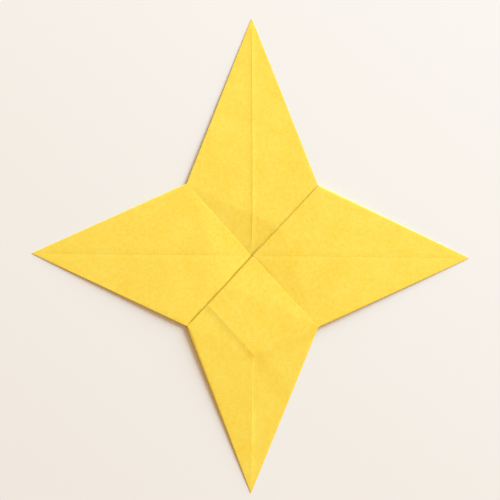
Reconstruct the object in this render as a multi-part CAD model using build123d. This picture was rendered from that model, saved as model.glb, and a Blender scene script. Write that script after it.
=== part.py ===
from build123d import *
import math
import os

# A four-pointed star folded from one square sheet of paper. It lies flat, front up,
# with its points north (+Y), east (+X), south (-Y) and west (-X). Two pleats cross at
# the middle of the sheet, and the long sides of the points are folded round to the back.

# ---- sizes of the sheet and of the folds (mm, degrees) ----
sheet_side = 150.0        # side of the square sheet; also point to opposite point
paper_thickness = 0.10    # plain origami paper, about 70 g per square metre
layer_gap = 0.05          # air left between two layers that lie on each other
tip_half_angle = 23.2     # half the angle of a point; 22.5 where every fold is exact
raw_edge_gap = 0.30       # between the two sheet edges that meet along a point's back
fold_end = 0.12           # a fold stops this far short of the corner of its panel
corner_relief = 0.40      # the same where a point's side starts at an inner corner
crossing_relief = 1.00    # the same where folds meet at an angle inside the stack

# ---- sizes that follow from them ----
t = paper_thickness
pitch = t + layer_gap
reach = sheet_side / 2                               # middle of the star to a tip
pleat = reach * (1 - 1 / math.sqrt(2))               # each pleat takes up this depth
slope = math.tan(math.radians(tip_half_angle))
q = reach * slope / (1 + slope)                      # inner corners are at (q, q)
x = math.sqrt(2) * pleat                             # where the pleat edges cross
h = x / 2

# ---- points in plan ----
mid = (0.0, 0.0)
ne, nw, sw, se = (q, q), (-q, q), (-q, -q), (q, -q)
tip = {"n": (0.0, reach), "e": (reach, 0.0), "s": (0.0, -reach), "w": (-reach, 0.0)}
knee = {"n": (0.0, x), "e": (x, 0.0), "s": (0.0, -x), "w": (-x, 0.0)}
half_se, half_sw = (h, -h), (-h, -h)


def add(a, b, k=1.0):
    return (a[0] + k * b[0], a[1] + k * b[1])


def unit(a, b):
    dx, dy = b[0] - a[0], b[1] - a[1]
    n = math.hypot(dx, dy)
    return (dx / n, dy / n)


def outward(a, b, inside):
    """Unit normal of the line a-b that points away from the place inside."""
    d = unit(a, b)
    n = (d[1], -d[0])
    side = (inside[0] - a[0]) * n[0] + (inside[1] - a[1]) * n[1]
    return n if side < 0 else (-n[0], -n[1])


def radius(upper, lower):
    """Outer radius of a fold between two layers, counted from the lowest."""
    return (abs(upper - lower) * pitch + t) / 2


tip_radius = radius(1, 0)
tip_in = {}
for arm, end in tip.items():
    tip_in[arm] = add(end, unit(end, mid), tip_radius / math.sin(math.radians(tip_half_angle)))


# ---- panels: the flat areas between the folds ----
class Panel:
    """One flat piece of the sheet: its outline in plan and the height of its under side."""

    def __init__(self, outline, corners):
        self.outline = list(outline)
        (x1, y1, z1), (x2, y2, z2), (x3, y3, z3) = corners
        det = (x2 - x1) * (y3 - y1) - (x3 - x1) * (y2 - y1)
        self.a = ((z2 - z1) * (y3 - y1) - (z3 - z1) * (y2 - y1)) / det
        self.b = ((x2 - x1) * (z3 - z1) - (x3 - x1) * (z2 - z1)) / det
        self.c = z1 - self.a * x1 - self.b * y1

    def z(self, p):
        return self.a * p[0] + self.b * p[1] + self.c

    def centre(self):
        n = len(self.outline)
        return (sum(p[0] for p in self.outline) / n, sum(p[1] for p in self.outline) / n)

    def trim(self, a, b):
        """Cut the outline along the line a-b and keep the larger side."""
        n = outward(a, b, self.centre())
        kept = []
        for p, r in zip(self.outline, self.outline[1:] + self.outline[:1]):
            sp = (p[0] - a[0]) * n[0] + (p[1] - a[1]) * n[1]
            sr = (r[0] - a[0]) * n[0] + (r[1] - a[1]) * n[1]
            if sp <= 1e-9:
                kept.append(p)
            if (sp < -1e-9 and sr > 1e-9) or (sp > 1e-9 and sr < -1e-9):
                kept.append(add(p, (r[0] - p[0], r[1] - p[1]), sp / (sp - sr)))
        self.outline = kept

    def span(self, a, b):
        """Where this outline runs along the line a-b, as distances from a."""
        d = unit(a, b)
        runs = []
        for p in self.outline:
            off = (p[0] - a[0]) * d[1] - (p[1] - a[1]) * d[0]
            if abs(off) < 1e-6:
                runs.append((p[0] - a[0]) * d[0] + (p[1] - a[1]) * d[1])
        return min(runs), max(runs)

    def solid(self):
        wire = Wire.make_polygon([(p[0], p[1], self.z(p)) for p in self.outline])
        return Solid.extrude(Face(wire), Vector(0, 0, t))


def flat(level, *outline):
    z = level * pitch
    return Panel(outline, [(*outline[0], z), (*outline[1], z), (*outline[2], z)])


def falling(arm, z_high, z_tip, *outline):
    """A panel that falls from its first two corners to the tip of its point."""
    high = [(*outline[0], z_high), (*outline[1], z_high)]
    return Panel(outline, high + [(*tip_in[arm], z_tip)])


# ---- folds ----
def half_ring(p, normal, z_low, z_high):
    """Section of a fold: a half ring that joins two layers at p and bulges along normal."""
    outer, inner = (z_high - z_low + t) / 2, (z_high - z_low - t) / 2
    zc = (z_high + z_low + t) / 2

    def at(r, z):
        return Vector(p[0] + r * normal[0], p[1] + r * normal[1], z)

    return Wire([
        Edge.make_three_point_arc(at(0, zc - outer), at(outer, zc), at(0, zc + outer)),
        Edge.make_line(at(0, zc + outer), at(0, zc + inner)),
        Edge.make_three_point_arc(at(0, zc + inner), at(inner, zc), at(0, zc - inner)),
        Edge.make_line(at(0, zc - inner), at(0, zc - outer)),
    ])


def fold(upper, lower, a, b, end_a, end_b, normal_a=None, normal_b=None):
    """Solid fold along the line a-b between two panels that are already trimmed to it.

    It stops end_a and end_b short of their common edge, or runs to b where end_b is None.
    """
    one, two = upper.span(a, b), lower.span(a, b)
    s0 = max(one[0], two[0]) + end_a
    s1 = math.dist(a, b) if end_b is None else min(one[1], two[1]) - end_b
    d = unit(a, b)
    n = outward(a, b, upper.centre())
    pa, pb = add(a, d, s0), add(a, d, s1)
    ends = [(pa, normal_a or n), (pb, normal_b or n)]
    rings = [half_ring(p, m, lower.z(p), upper.z(p)) for p, m in ends]
    return Solid.make_loft(rings, ruled=True)


def inset(a, b, inside, depth):
    n = outward(a, b, inside)
    return add(a, n, -depth), add(b, n, -depth)


# Centre lines of the pleat folds. Each lies inside the edge that it makes by the radius
# of the outermost fold there, so the folds nest and no two layers cross.
single = radius(1, 0)
u_mid = inset(se, nw, sw, single)                    # upper edge of the first pleat
u_low = inset(knee["s"], knee["w"], mid, single)     # its hidden edge
v_mid = inset(sw, ne, se, radius(5, 0) - pitch)      # upper edge of the second pleat
v_low = inset(knee["s"], knee["e"], mid, radius(5, 0))

# ---- the four inner corners, where the side of one point runs on under the next ----
# corner: (its place, the point that runs on, the point whose side starts here, the knee
# that the running side ends at, layers of the running side, layers of the side that
# starts, layers of the short fold wrapped round the running side)
corner = {
    "se": (se, "e", "s", "s", (9, 2), (11, 0), (10, 1)),
    "sw": (sw, "w", "s", "s", (5, 2), (11, 0), (6, 1)),
    "nw": (nw, "n", "w", "w", (3, 2), (5, 0), (4, 1)),
    "ne": (ne, "n", "e", "e", (3, 2), (9, 0), (8, 1)),
}
turn = {}                                            # centre of the running side's fold
turn_normal = {}
for name, (place, run, start, end, layers, _, _) in corner.items():
    n1 = outward(knee[end], place, mid)
    n2 = outward(place, tip[run], mid)
    both = unit((0, 0), add(n1, n2))
    turn_normal[name] = both
    turn[name] = add(place, both, -radius(*layers))

# ---- front panels, from the top of the stack down ----
south = flat(11, mid, se, knee["s"], sw)
fold_under = flat(10, se, knee["s"], half_sw, mid)
east = flat(9, half_sw, ne, knee["e"], turn["se"], knee["s"])
under_east = flat(8, half_sw, ne, knee["e"], knee["s"])
square = flat(7, mid, half_sw, knee["s"], half_se)
under_south = flat(6, mid, half_se, knee["s"], sw)
west = flat(5, half_se, nw, knee["w"], turn["sw"], knee["s"])
under_west = flat(4, half_se, knee["s"], knee["w"], nw)
north = flat(3, knee["s"], knee["e"], turn["ne"], knee["n"], turn["nw"], knee["w"])

top_z = {"s": 11 * pitch, "e": 9 * pitch, "w": 5 * pitch, "n": 3 * pitch}
outer = {}                                           # halves of each point past its knee
for name, (place, run, start, *_) in corner.items():
    outer[run, name] = falling(run, top_z[run], pitch, turn[name], knee[run], tip_in[run])
    outer[start, name] = falling(start, top_z[start], pitch, place, knee[start], tip_in[start])

# ---- back flaps: layer 0 rests on the table, layer 1 is hidden, layer 2 runs on ----
lowest, hidden, crossing, running = {}, {}, {}, {}
for name, (place, run, start, end, *_) in corner.items():
    lowest[name] = flat(0, tip[start], mid, place)
    hidden[name] = flat(1, place, mid, knee[end])
    crossing[name] = flat(2, mid, turn[name], knee[end])
    running[name] = falling(run, 2 * pitch, 0.0, mid, turn[name], tip_in[run])

# ---- trim every panel to its fold lines, then add the folds ----
pleat_folds = [
    (south, fold_under, u_mid, fold_end, fold_end),
    (square, under_south, u_mid, fold_end, fold_end),
    (west, under_west, u_mid, fold_end, fold_end),
    (fold_under, east, u_low, crossing_relief, fold_end),
    (under_east, square, u_low, crossing_relief, fold_end),
    (under_west, north, u_low, crossing_relief, fold_end),
    (south, under_south, v_mid, fold_end, fold_end),
    (fold_under, square, v_mid, fold_end, fold_end),
    (east, under_east, v_mid, fold_end, fold_end),
    (under_south, west, v_low, crossing_relief, fold_end),
    (square, under_west, v_low, crossing_relief, fold_end),
    (under_east, north, v_low, crossing_relief, fold_end),
]
for upper, lower, line, _, _ in pleat_folds:
    upper.trim(*line)
    lower.trim(*line)

front = {"s": south, "e": east, "w": west, "n": north}
wrapped = {"se": fold_under, "sw": under_south, "nw": under_west, "ne": under_east}
side_folds = []
for name, (place, run, start, end, layers, start_layers, short_layers) in corner.items():

    # the side that runs on: level under the next point, then tapering to its tip
    n1 = outward(knee[end], place, mid)
    level_line = (add(turn[name], unit(place, knee[end]), math.dist(place, knee[end])), turn[name])
    taper_line = (turn[name], tip_in[run])
    front[run].trim(*level_line)
    crossing[name].trim(*level_line)
    outer[run, name].trim(*taper_line)
    running[name].trim(*taper_line)

    # the side that starts here
    n3 = outward(place, tip[start], mid)
    start_line = (add(place, n3, -radius(*start_layers)), tip_in[start])
    outer[start, name].trim(*start_line)
    lowest[name].trim(*start_line)

    # the short fold wrapped round the side that runs on
    deep = radius(*layers)
    if sum(short_layers) != sum(layers):
        deep = 2 * single + layer_gap
    short_line = inset(knee[end], place, mid, deep)
    wrapped[name].trim(*short_line)
    hidden[name].trim(*short_line)

    # the flap's own folds: towards the corner, and along the back of the point
    corner_line = inset(mid, place, tip[start], single)
    back_line = inset(mid, knee[end], place, single + raw_edge_gap / 2)
    lowest[name].trim(*corner_line)
    hidden[name].trim(*corner_line)
    hidden[name].trim(*back_line)
    crossing[name].trim(*back_line)
    lowest[name].trim(*inset(mid, tip[start], place, raw_edge_gap / 2))
    running[name].trim(*inset(mid, tip[run], place, raw_edge_gap / 2))

    side_folds += [
        (front[run], crossing[name], level_line, crossing_relief, 0, n1, turn_normal[name]),
        (outer[run, name], running[name], taper_line, 0, None, turn_normal[name],
         outward(place, tip[run], mid)),
        (outer[start, name], lowest[name], start_line, corner_relief, None, n3, n3),
        (wrapped[name], hidden[name], short_line, crossing_relief, fold_end, None, None),
        (hidden[name], lowest[name], corner_line, fold_end, fold_end, None, None),
        (crossing[name], hidden[name], back_line, fold_end, crossing_relief, None, None),
    ]

panels = [south, fold_under, east, under_east, square, under_south, west, under_west, north]
for group in (outer, lowest, hidden, crossing, running):
    panels += list(group.values())
pieces = [p.solid() for p in panels]
pieces += [fold(up, low, *line, ea, eb) for up, low, line, ea, eb in pleat_folds]
pieces += [fold(up, low, *line, ea, eb, na, nb) for up, low, line, ea, eb, na, nb in side_folds]

# The two folded sides of a point meet in a small round end.
for arm, end in tip_in.items():
    away = unit(mid, end)
    swing = 90 - tip_half_angle
    start_angle = math.degrees(math.atan2(away[1], away[0])) - swing
    first = (math.cos(math.radians(start_angle)), math.sin(math.radians(start_angle)))
    section = Face(half_ring(end, first, 0.0, pitch))
    axis = Axis((end[0], end[1], 0), (0, 0, 1))
    pieces.append(Solid.revolve(section, 2 * swing, axis))

folded_sheet = pieces[0].fuse(*pieces[1:]).solid()

os.makedirs("parts", exist_ok=True)
export_step(folded_sheet, "parts/folded_sheet.step")
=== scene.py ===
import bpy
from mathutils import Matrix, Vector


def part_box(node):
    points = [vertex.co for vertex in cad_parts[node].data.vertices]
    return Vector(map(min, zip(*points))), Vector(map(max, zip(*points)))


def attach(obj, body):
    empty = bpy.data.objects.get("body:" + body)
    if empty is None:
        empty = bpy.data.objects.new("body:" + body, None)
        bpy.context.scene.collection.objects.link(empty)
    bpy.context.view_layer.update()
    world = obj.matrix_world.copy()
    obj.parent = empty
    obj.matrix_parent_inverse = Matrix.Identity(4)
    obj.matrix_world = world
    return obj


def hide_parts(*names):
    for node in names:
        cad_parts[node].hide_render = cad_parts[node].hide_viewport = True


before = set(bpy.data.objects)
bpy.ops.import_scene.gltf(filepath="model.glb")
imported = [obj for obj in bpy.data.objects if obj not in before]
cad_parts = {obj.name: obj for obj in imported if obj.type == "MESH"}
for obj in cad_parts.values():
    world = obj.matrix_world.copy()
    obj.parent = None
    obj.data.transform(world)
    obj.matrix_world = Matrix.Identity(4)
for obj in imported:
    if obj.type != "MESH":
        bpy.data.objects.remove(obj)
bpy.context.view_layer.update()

import math
import bmesh
import bpy
from mathutils import Matrix, Vector, noise


# ---- The folded sheet ----
# One square of yellow origami paper. Two pleats cross at its middle, and the long sides of
# each point are creased round to the back. The stack of layers is thick in the middle and
# thins out to two layers at each tip. Round its middle it springs up a little off the table.
MM = 0.001                            # a millimetre in metres
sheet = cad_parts["folded_sheet"]
low, high = (Vector(corner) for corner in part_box("folded_sheet"))
reach = (high.x - low.x) / 2          # middle of the star to a tip
stack = high.z - low.z                # all the layers, one on another
pleat = reach * (1 - 1 / math.sqrt(2))
knee = math.sqrt(2) * pleat           # the stack under a point ends this far out
corner = reach * 0.300                # inner corners of the outline are at (corner, corner)

paper = bpy.data.objects.new("paper_star", sheet.data.copy())
bpy.context.scene.collection.objects.link(paper)


def ramp(value, width):
    """0 below 0, 1 above width, and a smooth rise between."""
    s = min(max(value / width, 0.0), 1.0)
    return s * s * (3 - 2 * s)


cell = 1.9 * MM                       # longest side of a mesh face


class Crease:
    """A straight fold mark in the top layer: height above 0 makes a crest, below 0 a groove."""

    margin, fade_in = 1 * MM, 2 * MM  # how far it is cut past its ends, and fades in at them

    def __init__(self, start, end, height, width):
        self.start, self.end = Vector(start) * reach, Vector(end) * reach
        self.height, self.width = height, width
        self.length = (self.end - self.start).length
        self.along = (self.end - self.start) / self.length
        self.side = Vector((-self.along.y, self.along.x))

    def reading(self, place):
        """Distance along the crease and to the side of it."""
        away = Vector(place[:2]) - self.start
        return away.dot(self.along), away.dot(self.side)

    def cuts(self):
        """Where the mesh is cut, to the side: a bend with no mark needs only its line."""
        return (-self.width, 0.0, self.width) if self.height else (0.0,)

    def close(self, place):
        run, off = self.reading(place)
        return -self.margin < run < self.length + self.margin and abs(off) < self.width + cell

    def lift(self, x, y):
        run, off = self.reading((x, y))
        if run < 0 or run > self.length or abs(off) > self.width:
            return 0.0
        ends = ramp(run, self.fade_in) * ramp(self.length - run, self.fade_in)
        return self.height * ends * max(1 - abs(off) / self.width, 0.0)


# Ends of the creases, as shares of the reach. The rim of the middle turns at (turned, turned).
inner, turned, half_knee, out_to_knee = corner / reach, 0.1213, 0.2071, knee / reach
near_tip = 0.98
axis_width, mark_width = 0.20 * MM, 0.28 * MM
creases = [
    # along the middle of each point
    Crease((0, 0.03), (0, near_tip), 0.055 * MM, axis_width),
    Crease((0, -0.02), (0, -near_tip), 0.014 * MM, axis_width),
    Crease((0.02, 0), (near_tip, 0), -0.018 * MM, axis_width),
    Crease((-0.03, 0), (-near_tip, 0), -0.018 * MM, axis_width),
    # over the edges of hidden layers in the south and the east point
    Crease((-half_knee, -half_knee), (0, -out_to_knee), 0.020 * MM, mark_width),
    Crease((half_knee, -half_knee), (out_to_knee, 0), 0.010 * MM, mark_width),
    # the rim of the sunken middle, which only bends
    Crease((-inner, inner), (turned, turned), 0.0, mark_width),
    Crease((-inner, inner), (-turned, -turned), 0.0, mark_width),
    Crease((inner, -inner), (turned, turned), 0.0, mark_width),
    Crease((inner, -inner), (-turned, -turned), 0.0, mark_width),
]
slit = Crease((-inner, -inner), (inner, inner), -0.26 * MM, 0.30 * MM)
pleat_edge = Crease((-inner, inner), (inner, -inner), -0.05 * MM, 0.22 * MM)

weld = 1e-7                           # points nearer than this are one
flat = math.radians(0.2)              # faces that turn less than this are one
slice_slack = 1e-8                    # a point nearer than this is on the slice


def slice_mesh(bm, parts, point, normal):
    """Cuts these parts where a plane crosses them, and returns them with what is new."""
    cut = bmesh.ops.bisect_plane(bm, geom=parts, dist=slice_slack, plane_co=point, plane_no=normal)
    return cut["geom"]


def cut_into_cells(bm):
    """Cuts every layer on one square grid, so that the layers bend alike."""
    bmesh.ops.remove_doubles(bm, verts=bm.verts, dist=weld)
    bmesh.ops.dissolve_limit(bm, angle_limit=flat, verts=bm.verts, edges=bm.edges)
    parts = bm.verts[:] + bm.edges[:] + bm.faces[:]
    steps = int(reach / cell)
    for i in range(-steps, steps + 1):
        parts = slice_mesh(bm, parts, (i * cell, 0, 0), (1, 0, 0))
        parts = slice_mesh(bm, parts, (0, i * cell, 0), (0, 1, 0))


def cut_along(bm, crease):
    """Cuts the cells beside a crease along it."""
    faces = [f for f in bm.faces if crease.close(f.calc_center_median())]
    parts = list({part for f in faces for part in (*f.verts, *f.edges, f)})
    for offset in crease.cuts():
        place = crease.start + crease.side * offset
        parts = slice_mesh(bm, parts, (*place, 0), (*crease.side, 0))


gap_reach = 1.8 * MM                  # the gap between two folds ends this far from the corner
pinch_reach = 4.5 * MM                # the paper moves over up to this far from it
gap_left = 0.1                        # how much of the gap stays open


def pinch(x, y):
    """Draws the small gap between two folds at an inner corner nearly shut."""
    centre = Vector((math.copysign(corner, x), math.copysign(corner, y)))
    away = Vector((x, y)) - centre
    far = away.length
    if far >= pinch_reach:
        return x, y
    near = gap_left * min(far, gap_reach)
    if far > gap_reach:
        near += (pinch_reach - near) * (far - gap_reach) / (pinch_reach - gap_reach)
    return tuple(centre + away * (near / far if far else 1.0))


dish_u, dish_v = 0.1716 * reach, 0.4142 * reach   # half diagonals of the sunken middle
spring_up = 0.75 * MM                 # how far it springs up off the table round its middle
spring_curve = 0.7                    # below 1, a point stays high until nearer its tip
pressed, loose = 0.50, 0.60           # share of their height layers keep, middle and points


def along_and_over(x, y):
    """Distance along the slit, to the north-east, and to its north-west side."""
    return (x + y) / math.sqrt(2), (y - x) / math.sqrt(2)


def spring(x, y, z):
    """Height that paper at z in the flat stack has once the star lies loose on the table."""
    u, v = along_and_over(x, y)
    rim = min(abs(u) / dish_u + abs(v) / dish_v, 1.0)
    out = max(abs(x), abs(y)) / reach
    fall = 1.0 - max(out - knee / reach, 0.0) / (1 - knee / reach)
    return spring_up * rim * fall ** spring_curve + z * (pressed + (loose - pressed) * rim)


tip_height = 0.3 * MM                 # two layers and the fold between them
north_top, east_top, west_top, south_top = 0.31, 0.83, 0.49, 1.0   # shares of the stack


def top_layer(x, y):
    """Height of the top layer in the flat stack: the four points differ."""
    if x + y >= 0:
        middle = north_top if y > x else east_top
    else:
        middle = west_top if y > x else south_top
    out = min(max((max(abs(x), abs(y)) - knee) / (reach - knee), 0.0), 1.0)
    return middle * stack * (1 - out) + tip_height * out


step = 0.16 * MM                      # drop over the edge of a hidden layer, south point
east_step = 0.6 * step                # the same in the east point
drape = 1.1 * MM                      # width of that drop
gape = 0.30 * MM                      # the slit's south-east edge springs up at the middle
gape_down = 0.4                       # and its other edge lies lower by this share of that
gape_over, gape_along = 3 * MM, 15 * MM   # how fast both die away over and along the slit
middle_raised = 0.30 * MM             # the south-east half of the middle sinks this much less
north_groove = 0.75                   # depth of the groove north of the slit; west of it is 1
south_drop, south_drop_width = 0.15 * MM, 3.5 * MM   # the slow drop at the south knee
wave, wave_length = 0.06 * MM, 9 * MM   # slow unevenness of hand-folded paper
ripple, ripple_length, ripple_level = 0.4 * wave, 3.5 * MM, 3 * MM   # and a finer one


def relief(x, y):
    """How far the top layer lies above or below its own plane."""
    u, v = along_and_over(x, y)
    south, east = v < 0 and u < 0, v < 0 and u >= 0
    left = 1.0 - max(max(abs(x), abs(y)) - knee, 0.0) / (reach - knee)
    lift = 0.0
    if south:
        lift -= step * left * ramp(-pleat - u, drape)
    if east:
        lift -= east_step * left * ramp(-pleat - v, drape)
    open_edge = gape * math.exp(-abs(v) / gape_over) * math.exp(-abs(u) / gape_along)
    lift += open_edge if v < 0 else -gape_down * open_edge
    inside = 1.0 - min(abs(u) / dish_u + abs(v) / dish_v, 1.0)
    if v < 0:
        lift += middle_raised * inside
    if v > 0:
        lift += slit.lift(x, y) * (1.0 if u < 0 else north_groove)
    if u > 0:
        lift += pleat_edge.lift(x, y)
    # the south point drops a little just past the line from its east corner to its knee
    knee_line = knee - (knee - corner) * abs(x) / corner
    if south and x > 0:
        lift -= south_drop * left * ramp(-y - knee_line, south_drop_width)
    for crease in creases:
        lift += crease.lift(x, y)
    lift += wave * left * noise.noise(Vector((x, y, 0)) / wave_length)
    lift += ripple * left * noise.noise(Vector((x, y, ripple_level)) / ripple_length)
    return lift


def lay_on_table(bm):
    """Moves each point of the flat stack to where the loose star has it."""
    for v in bm.verts:
        x, y = pinch(v.co.x, v.co.y)
        z = v.co.z - low.z
        share = min(max(z / top_layer(x, y), 0.0), 1.0)
        v.co = (x, y, max(spring(x, y, z) + relief(x, y) * share, 0.0))
    thickest = max(v.co.z for v in bm.verts)
    for v in bm.verts:                # the loose star is no thicker than the stack was
        v.co.z = low.z + v.co.z * min(stack / thickest, 1.0)


bm = bmesh.new()
bm.from_mesh(paper.data)
cut_into_cells(bm)
for crease in (*creases, slit, pleat_edge):
    cut_along(bm, crease)
lay_on_table(bm)
bm.to_mesh(paper.data)
bm.free()

sharp_from = math.radians(5)          # folds and creases are sharp, and slow bends smooth
for face in paper.data.polygons:
    face.use_smooth = True
paper.data.set_sharp_from_angle(angle=sharp_from)


class Field:
    """A shader value that can be written into sums and products."""

    def __init__(self, tree, socket):
        self.tree, self.socket = tree, socket

    def _math(self, operation, a, b):
        node = self.tree.nodes.new("ShaderNodeMath")
        node.operation = operation
        for slot, value in zip(node.inputs, (a, b)):
            if isinstance(value, Field):
                self.tree.links.new(value.socket, slot)
            else:
                slot.default_value = value
        return Field(self.tree, node.outputs[0])

    def __add__(self, other):
        return self._math("ADD", self, other)

    def __sub__(self, other):
        return self._math("SUBTRACT", self, other)

    def __mul__(self, other):
        return self._math("MULTIPLY", self, other)

    def __abs__(self):
        return self._math("ABSOLUTE", self, 0.0)

    def __rsub__(self, other):
        return self._math("SUBTRACT", other, self)

    __radd__, __rmul__ = __add__, __mul__


class Shader:
    """A new material, with one method that adds any node to it."""

    def __init__(self, name):
        self.material = bpy.data.materials.new(name)
        self.material.use_nodes = True
        self.tree = self.material.node_tree
        self.surface = self.tree.nodes["Principled BSDF"]

    def node(self, kind, settings, sockets):
        """Adds a node. Sockets are named, or numbered where several share a name."""
        node = self.tree.nodes.new(kind)
        for key, value in settings.items():
            setattr(node, key, value)
        self.fill(node, sockets)
        return node

    def fill(self, node, sockets):
        for key, value in sockets.items():
            if isinstance(value, Field):
                self.tree.links.new(value.socket, node.inputs[key])
            elif isinstance(value, bpy.types.NodeSocket):
                self.tree.links.new(value, node.inputs[key])
            else:
                node.inputs[key].default_value = value

    def field(self, socket):
        return Field(self.tree, socket)


yellow = (0.950, 0.780, 0.112, 1)
deep_yellow = (0.955, 0.610, 0.018, 1)
# the next colour is painted shade, laid into the slit, the pleat edge and the creases
painted_shade_colour = (0.42, 0.29, 0.004, 1)
MIX_FACTOR, MIX_FIRST, MIX_SECOND, MIX_RESULT = 0, 6, 7, 2   # sockets of a Mix of colours
noise_middle = 0.5                    # the middle value of a noise
plain_tone = 0.40                     # the paper's usual place between its two yellows

coloured = Shader("yellow_paper")
where = coloured.node("ShaderNodeTexCoord", {}, {}).outputs["Object"]


def speckle(scale, detail, roughness):
    """Noise over the paper: a larger scale makes finer speckles."""
    node = coloured.node("ShaderNodeTexNoise", {}, {"Vector": where, "Scale": scale,
                                                    "Detail": detail, "Roughness": roughness})
    return coloured.field(node.outputs["Fac"])


cloud = speckle(scale=110.0, detail=3.0, roughness=0.55)     # uneven dye
fleck = speckle(scale=900.0, detail=2.0, roughness=0.6)      # clumps of fibre
fibre = speckle(scale=2600.0, detail=4.0, roughness=0.7)     # single fibres
tone = (plain_tone + (cloud - noise_middle) * 0.7 + (fleck - noise_middle) * 1.0
        + (fibre - noise_middle) * 1.5)
dyed = coloured.node("ShaderNodeMix", {"data_type": "RGBA"},
                     {MIX_FACTOR: tone, MIX_FIRST: yellow, MIX_SECOND: deep_yellow})

spot = coloured.node("ShaderNodeSeparateXYZ", {}, {"Vector": where})
east_west, north_south = coloured.field(spot.outputs["X"]), coloured.field(spot.outputs["Y"])
along_slit = (east_west + north_south) * math.sqrt(0.5)
over_slit = (north_south - east_west) * math.sqrt(0.5)


def fade(value, inside, outside):
    """1 up to inside, 0 from outside on, and a smooth fall between."""
    node = coloured.node("ShaderNodeMapRange", {"interpolation_type": "SMOOTHSTEP"},
                         {"Value": value, "From Min": inside, "From Max": outside,
                          "To Min": 1.0, "To Max": 0.0})
    return coloured.field(node.outputs["Result"])


full_until = 0.9                      # share of its half length before a line fades


def painted_shade_line(over, along, offset, half_width, start, end, strength):
    """A line of painted shade in a fold, from start to end, that fades to its sides and over its
    ends.
    """
    middle, half_length = (start + end) / 2, (end - start) / 2
    sides = fade(abs(over - offset), 0.0, half_width)
    ends = fade(abs(along - middle), half_length * full_until, half_length)
    return sides * ends * strength


slit_end, axis_start, axis_end = corner * math.sqrt(2), 2 * MM, 0.97 * reach
painted_shade_lines = (
    # painted shade in the whole slit, and more painted shade in its south-west half
    painted_shade_line(over_slit, along_slit, offset=0.04 * MM, half_width=0.36 * MM,
              start=-slit_end, end=slit_end, strength=0.34)
    + painted_shade_line(over_slit, along_slit, offset=0.04 * MM, half_width=0.40 * MM,
                start=-slit_end, end=4 * MM, strength=0.24)
    # painted shade along the edge of the other pleat
    + painted_shade_line(along_slit, over_slit, offset=0.12 * MM, half_width=0.26 * MM,
                start=-slit_end, end=slit_end, strength=0.22)
    # the creases along the north, east and west points: partly painted shade, partly the darker
    # crushed fibres of the fold
    + painted_shade_line(east_west, north_south, offset=-0.16 * MM, half_width=0.24 * MM,
                start=axis_start, end=axis_end, strength=0.20)
    + painted_shade_line(north_south, east_west, offset=0.0, half_width=0.22 * MM,
                start=axis_start, end=axis_end, strength=0.14)
    + painted_shade_line(north_south, east_west, offset=0.0, half_width=0.22 * MM,
                start=-axis_end, end=-axis_start, strength=0.14)
)
# mixes the painted shade colour into the paper along those lines
painted_shade_mix = coloured.node("ShaderNodeMix", {"data_type": "RGBA"},
                      {MIX_FACTOR: painted_shade_lines, MIX_FIRST: dyed.outputs[MIX_RESULT],
                       MIX_SECOND: painted_shade_colour})
grain = coloured.node("ShaderNodeBump", {},
                      {"Strength": 0.25, "Distance": 0.04 * MM, "Height": fibre})
coloured.fill(coloured.surface, {"Base Color": painted_shade_mix.outputs[MIX_RESULT],
                                 "Roughness": 0.55 + fibre * 0.2,
                                 "Normal": grain.outputs["Normal"],
                                 "Specular IOR Level": 0.3})

paper.data.materials.clear()
paper.data.materials.append(coloured.material)
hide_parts("folded_sheet")
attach(paper, "root")


# ---- The table and the light ----
# The star lies on a plain warm white table. One large soft lamp, a little cool, stands low to
# the north-east, and a warm surround fills the shadows. Together they are about neutral.
half = 3.0                            # metres from the star to an edge of the table
floor_mesh = bpy.data.meshes.new("table_top")
table_corners = [(-half, -half, 0), (half, -half, 0), (half, half, 0), (-half, half, 0)]
floor_mesh.from_pydata(table_corners, [], [(0, 1, 2, 3)])
floor = bpy.data.objects.new("table_top", floor_mesh)
bpy.context.scene.collection.objects.link(floor)
table = Shader("warm_white_table")
table.fill(table.surface, {"Base Color": (0.861, 0.855, 0.812, 1), "Roughness": 0.9,
                           "Specular IOR Level": 0.1})
floor_mesh.materials.append(table.material)

world = bpy.data.worlds.new("surround")
bpy.context.scene.world = world
world.use_nodes = True
surround = world.node_tree.nodes["Background"]
surround.inputs["Color"].default_value = (1.0, 0.68, 0.42, 1)
surround.inputs["Strength"].default_value = 0.60

key_direction, key_distance = Vector((0.54, 0.72, 0.44)), 2.0
key_data = bpy.data.lights.new("key_lamp", "AREA")
key_data.size, key_data.energy, key_data.color = 1.7, 83.0, (0.62, 0.80, 0.97)
key_lamp = bpy.data.objects.new("key_lamp", key_data)
key_lamp.location = key_direction.normalized() * key_distance
key_lamp.rotation_euler = key_direction.to_track_quat("Z", "Y").to_euler()
bpy.context.scene.collection.objects.link(key_lamp)


# ---- The camera ----
# It looks down on the star from far off with a long lens, so that parallel edges stay
# parallel. It stands 23 degrees to the west of straight above.
back = Vector((-0.39014, -0.02293, 0.92049)).normalized()   # from the star to the camera
up = Vector((-0.01038, 0.99975, 0.02051))
right = up.cross(back).normalized()
up = back.cross(right)
distance, frame_width = 7.0, 157.66 * MM
aim = (up * 1.78 - right * 0.35) * MM
camera_data = bpy.data.cameras.new("camera")
camera_data.sensor_width = 36
camera_data.lens = camera_data.sensor_width * distance / frame_width
camera_data.clip_end = 100
camera = bpy.data.objects.new("camera", camera_data)
turn = Matrix((right, up, back)).transposed()
camera.matrix_world = Matrix.Translation(aim + back * distance) @ turn.to_4x4()
bpy.context.scene.collection.objects.link(camera)

bpy.context.scene.camera = camera
bpy.context.scene.view_settings.view_transform = "Standard"
